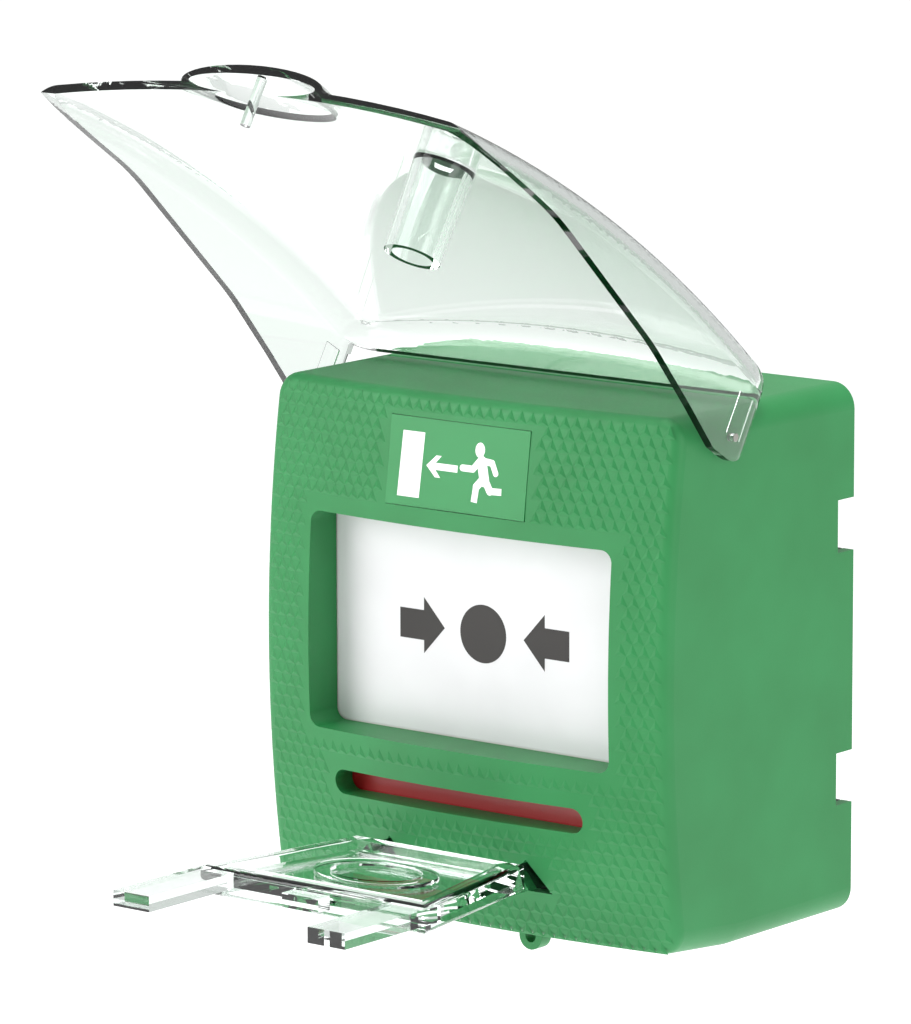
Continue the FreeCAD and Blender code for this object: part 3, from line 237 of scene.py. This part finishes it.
def disc(centre, radius_x, radius_z, count=40):
    return [(centre[0] + radius_x * math.cos(2 * math.pi * n / count),
             centre[1] + radius_z * math.sin(2 * math.pi * n / count)) for n in range(count)]


def stroke(start_point, end_point, width, rounded=True):
    """The outline of a thick line from one point to another, with half-round ends."""
    run = Vector(end_point) - Vector(start_point)
    angle = math.atan2(run.y, run.x)
    half = width / 2
    corners = []
    for point, turn in ((end_point, -math.pi / 2), (start_point, math.pi / 2)):
        steps = 8 if rounded else 1
        for n in range(steps + 1):
            a = angle + turn + math.pi * n / steps
            corners.append((point[0] + half * math.cos(a), point[1] + half * math.sin(a)))
    return corners


def marks(name, outlines, front, thickness, material, body, slot,
          low=0.0, slope=0.0):
    """One piece made of flat plates, each a hair behind the last so that no two faces coincide.

    Each corner moves back by slope for every millimetre that it stands above low.
    """
    shape = bmesh.new()
    for n, corners in enumerate(outlines):
        flat_shape(shape, corners, front - 0.002 * n, thickness)
    for corner in shape.verts:
        corner.co.y += (corner.co.z - low * MM) * slope
    mesh = bpy.data.meshes.new(name)
    shape.to_mesh(mesh)
    shape.free()
    return mesh_object(name, mesh, material, body)


PRINT_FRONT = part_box("panel_print")[0].y / MM
AIM_X, AIM_Z = 0.0, 5.4


def printed_arrow(side):
    """A short block arrow that points at the disc; side is -1 for the left one."""
    tip, neck, tail = 9.8, 15.0, 21.0
    head, shaft = 5.6, 3.0
    return [(AIM_X + side * x, AIM_Z + z) for x, z in (
        (tip, 0), (neck, head), (neck, shaft), (tail, shaft), (tail, -shaft), (neck, -shaft), (neck, -head))]


marks("panel_marks", [printed_arrow(-1), printed_arrow(1), disc((AIM_X - 0.2, AIM_Z), 5.7, 5.8, 64)],
      PRINT_FRONT - 0.04, 0.05, BLACK_INK, "press_plate", "print_sheet")

SIGN_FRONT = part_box("sign_label")[0].y / MM
SIGN_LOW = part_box("sign_label")[0].z / MM
SIGN_TILT = 7.4  # degrees; the sign leans back with the cover's curve
SIGN_SLOPE = math.tan(math.radians(SIGN_TILT))
DOOR = [(-13.9, 45.4), (-8.5, 45.4), (-8.9, 32.7), (-14.3, 32.7)]
RUNNER = [
    disc((5.3, 43.4), 1.15, 1.45),
    stroke((5.9, 41.2), (6.9, 37.6), 2.3),
    stroke((5.2, 41.1), (3.9, 39.6), 1.3),
    stroke((3.9, 39.6), (1.3, 39.6), 1.3),
    stroke((6.2, 41.4), (8.5, 41.2), 1.3),
    stroke((8.5, 41.2), (9.5, 39.3), 1.25),
    stroke((6.6, 38.0), (5.0, 36.3), 1.6),
    stroke((5.0, 36.3), (4.7, 33.3), 1.45, False),
    stroke((7.0, 37.8), (8.4, 35.8), 1.6),
    stroke((8.4, 35.8), (11.2, 35.9), 1.3, False),
]
ARROW = [
    stroke((-6.4, 39.2), (0.1, 39.2), 1.35, False),
    [(-7.6, 39.2), (-5.3, 41.3), (-4.0, 41.3), (-6.0, 39.2)],
    [(-7.6, 39.2), (-6.0, 39.2), (-4.0, 37.1), (-5.3, 37.1)],
]
marks("sign_pictogram", [DOOR] + ARROW + RUNNER, SIGN_FRONT - 0.05, 0.06, WHITE_INK, "housing", "sign_green",
      SIGN_LOW, SIGN_SLOPE)


# ---------------------------------------------------------------- the cover's moulded grain

# the pyramids' bases are a little wider than their share of the pitch, so that neighbours touch
PITCH_TO_BASE_ACROSS = 1.55
PITCH_TO_BASE_UP = 1.36


def grain_tree(keep_out):
    """Rows of low triangular pyramids on the cover's spherical front, each row half a pitch aside.

    keep_out lists the smooth rectangles: middle x, middle z, half width, half height, in metres.
    """
    tree = bpy.data.node_groups.new("moulded_grain", "GeometryNodeTree")
    wanted = {
        "Pitch Across": 2.5 * MM, "Pitch Up": 2.35 * MM, "Relief": 0.34 * MM, "Half Width": 46.8 * MM,
        "Half Height": 50.2 * MM, "Front Radius": 308 * MM, "Front Distance": 64.9 * MM,
        "Sunk": 0.02 * MM,
    }
    for label, value in wanted.items():
        socket = tree.interface.new_socket(label, in_out="INPUT", socket_type="NodeSocketFloat")
        socket.default_value = value
    tree.interface.new_socket("Material", in_out="INPUT", socket_type="NodeSocketMaterial")
    tree.interface.new_socket("Geometry", in_out="OUTPUT", socket_type="NodeSocketGeometry")
    given = tree.nodes.new("NodeGroupInput").outputs
    result = tree.nodes.new("NodeGroupOutput")

    def maths(operation, *values):
        """A Math node on sockets or plain numbers; gives its result."""
        item = add(tree, "ShaderNodeMath", {"operation": operation})
        for n, value in enumerate(values):
            if isinstance(value, (int, float)):
                item.inputs[n].default_value = value
            else:
                tree.links.new(value, item.inputs[n])
        return item.outputs[0]

    across = maths("ADD", maths("ROUND", maths("DIVIDE", maths("MULTIPLY", given["Half Width"], 2),
                                               given["Pitch Across"])), 1)
    up = maths("ADD", maths("ROUND", maths("DIVIDE", maths("MULTIPLY", given["Half Height"], 2),
                                           given["Pitch Up"])), 1)
    grid = add(tree, "GeometryNodeMeshGrid", links={
        "Size X": maths("MULTIPLY", given["Half Width"], 2), "Size Y": maths("MULTIPLY",
                                                                             given["Half Height"], 2),
        "Vertices X": across, "Vertices Y": up,
    })
    spot = add(tree, "ShaderNodeSeparateXYZ",
               links={"Vector": add(tree, "GeometryNodeInputPosition").outputs[0]})
    row = maths("ROUND", maths("DIVIDE", maths("ADD", spot.outputs["Y"], given["Half Height"]),
                               given["Pitch Up"]))
    shift = maths("MULTIPLY", maths("SUBTRACT", maths("MODULO", row, 2), 0.5),
                  maths("DIVIDE", given["Pitch Across"], 2))
    x = maths("ADD", spot.outputs["X"], shift)
    z = spot.outputs["Y"]
    deep = maths("SQRT", maths("SUBTRACT", maths("POWER", given["Front Radius"], 2),
                               maths("ADD", maths("POWER", x, 2), maths("POWER", z, 2))))
    y = maths("SUBTRACT", maths("SUBTRACT", given["Front Radius"], given["Front Distance"]), deep)
    place = add(tree, "ShaderNodeCombineXYZ", links={"X": x, "Y": maths("ADD", y, given["Sunk"]), "Z": z})
    seated = add(tree, "GeometryNodeSetPosition",
                 links={"Geometry": grid.outputs["Mesh"], "Position": place.outputs[0]})

    now = add(tree, "ShaderNodeSeparateXYZ",
              links={"Vector": add(tree, "GeometryNodeInputPosition").outputs[0]})
    inside_any = None
    for middle_x, middle_z, half_x, half_z in keep_out:
        in_x = maths("LESS_THAN", maths("ABSOLUTE", maths("SUBTRACT", now.outputs["X"], middle_x)), half_x)
        in_z = maths("LESS_THAN", maths("ABSOLUTE", maths("SUBTRACT", now.outputs["Z"], middle_z)), half_z)
        inside = maths("MULTIPLY", in_x, in_z)
        inside_any = inside if inside_any is None else maths("MAXIMUM", inside_any, inside)
    kept = add(tree, "GeometryNodeDeleteGeometry", {"domain": "POINT"},
               {"Geometry": seated.outputs["Geometry"], "Selection": inside_any})

    tent = add(tree, "GeometryNodeMeshCone",
               {"Vertices": 3, "Radius Top": 0.0, "Radius Bottom": 1.0, "Depth": 1.0})
    sized = add(tree, "GeometryNodeTransform",
                {"Rotation": (0.0, 0.0, math.pi / 2)}, {"Geometry": tent.outputs["Mesh"]})
    stretch = add(tree, "ShaderNodeCombineXYZ", links={
        "X": maths("DIVIDE", given["Pitch Across"], PITCH_TO_BASE_ACROSS),
        "Y": maths("DIVIDE", given["Pitch Up"], PITCH_TO_BASE_UP),
        "Z": given["Relief"],
    })
    shaped = add(tree, "GeometryNodeTransform",
                 links={"Geometry": sized.outputs["Geometry"], "Scale": stretch.outputs[0]})
    lean = add(tree, "ShaderNodeCombineXYZ", links={
        "X": maths("SUBTRACT", math.pi / 2, maths("ARCSINE", maths("DIVIDE", now.outputs["Z"],
                                                                   given["Front Radius"]))),
        "Z": maths("ARCSINE", maths("DIVIDE", now.outputs["X"], given["Front Radius"])),
    })
    lean.inputs["Y"].default_value = 0.0
    tents = add(tree, "GeometryNodeInstanceOnPoints", links={
        "Points": kept.outputs["Geometry"], "Instance": shaped.outputs["Geometry"],
        "Rotation": lean.outputs[0],
    })
    real = add(tree, "GeometryNodeRealizeInstances", links={"Geometry": tents.outputs["Instances"]})
    flat = add(tree, "GeometryNodeSetShadeSmooth", {"Shade Smooth": False},
               {"Geometry": real.outputs["Geometry"]})
    painted = add(tree, "GeometryNodeSetMaterial",
                  links={"Geometry": flat.outputs["Geometry"], "Material": given["Material"]})
    tree.links.new(painted.outputs["Geometry"], result.inputs["Geometry"])
    return tree


def grown(name, tree, values, body, material):
    """Run a tree on an empty mesh and keep its result as a plain piece."""
    seed = bpy.data.objects.new(name + "_seed", bpy.data.meshes.new(name + "_seed"))
    bpy.context.scene.collection.objects.link(seed)
    modifier = seed.modifiers.new("nodes", "NODES")
    modifier.node_group = tree
    for socket in tree.interface.items_tree:
        if socket.in_out == "INPUT" and socket.name in values:
            modifier[socket.identifier] = values[socket.name]
    ready = seed.evaluated_get(bpy.context.evaluated_depsgraph_get())
    mesh = bpy.data.meshes.new_from_object(ready)
    mesh.name = name
    bpy.data.objects.remove(seed)
    return mesh_object(name, mesh, material, body)


def smooth_areas():
    """Where the cover's front has no grain: window, indicator slot, sign and the two key holes."""
    areas = []
    low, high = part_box("panel_print")
    areas.append(((low.x + high.x) / 2, (low.z + high.z) / 2, (high.x - low.x) / 2 + 2.4 * MM,
                  (high.z - low.z) / 2 + 2.3 * MM))
    low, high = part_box("sign_label")
    areas.append((0.0, (low.z + high.z) / 2, (high.x - low.x) / 2 + 1.2 * MM,
                  (high.z - low.z) / 2 + 1.3 * MM))
    areas.append((0.0, -26.4 * MM, 30.8 * MM + 1.9 * MM, 2.5 * MM + 1.9 * MM))
    for side in (-1, 1):
        areas.append((side * 17.0 * MM, -38.9 * MM, 6.0 * MM, 4.8 * MM))
    return areas


grown("cover_grain", grain_tree(smooth_areas()), {"Material": GREEN}, "housing", GREEN)


# ---------------------------------------------------------------- floor, light and camera

def stage_plane(name, size, at, material):
    shape = bmesh.new()
    bmesh.ops.create_grid(shape, x_segments=1, y_segments=1, size=size / 2)
    mesh = bpy.data.meshes.new(name)
    shape.to_mesh(mesh)
    shape.free()
    mesh.materials.append(material)
    plane = bpy.data.objects.new(name, mesh)
    plane.location = at
    bpy.context.scene.collection.objects.link(plane)
    return plane


def floor_material():
    """Matt white studio paper."""
    material, tree, shader = start("paper_white_matt")
    shader.inputs["Base Color"].default_value = linear("#FFFFFF")
    shader.inputs["Roughness"].default_value = 0.9
    shader.inputs["Emission Color"].default_value = linear("#FFFFFF")
    shader.inputs["Emission Strength"].default_value = 0.35
    return material


stage_plane("floor", 30.0, (0, 0, -0.30), floor_material())


def softbox(name, at, aim, size, power, colour="#FFFFFF"):
    light = bpy.data.lights.new(name, "AREA")
    light.shape = "RECTANGLE"
    light.size, light.size_y = size
    light.energy = power
    light.color = linear(colour)[:3]
    lamp = bpy.data.objects.new(name, light)
    lamp.location = at
    lamp.rotation_euler = (Vector(aim) - Vector(at)).to_track_quat("-Z", "Y").to_euler()
    bpy.context.scene.collection.objects.link(lamp)
    return lamp


softbox("light_top", (0.05, -0.25, 1.1), (0, -0.03, 0.03), (0.9, 0.7), 14)
softbox("light_front", (-0.75, -1.1, 0.45), (0, -0.03, 0.0), (0.8, 0.8), 10)
softbox("light_side", (1.3, -0.1, 0.4), (0.04, -0.03, 0.0), (0.5, 0.9), 4)

world = bpy.data.worlds.new("studio")
world.use_nodes = True
world.node_tree.nodes["Background"].inputs["Color"].default_value = linear("#F4F6F5")
world.node_tree.nodes["Background"].inputs["Strength"].default_value = 0.75
bpy.context.scene.world = world
bpy.context.scene.view_settings.view_transform = "Standard"

camera = bpy.data.objects.new("camera", bpy.data.cameras.new("camera"))
camera.data.lens = 239.24
camera.data.sensor_width = 36.0
camera.data.clip_start = 0.05
camera.data.clip_end = 100.0
camera.location = (0.80846, -1.07460, 0.26363)
aim = Vector((-0.61429, 0.76900, -0.17686))
camera.rotation_mode = "QUATERNION"
camera.rotation_quaternion = aim.to_track_quat("-Z", "Y") @ Matrix.Rotation(
    math.radians(-0.146), 3, "Z").to_quaternion()
bpy.context.scene.collection.objects.link(camera)
bpy.context.scene.camera = camera
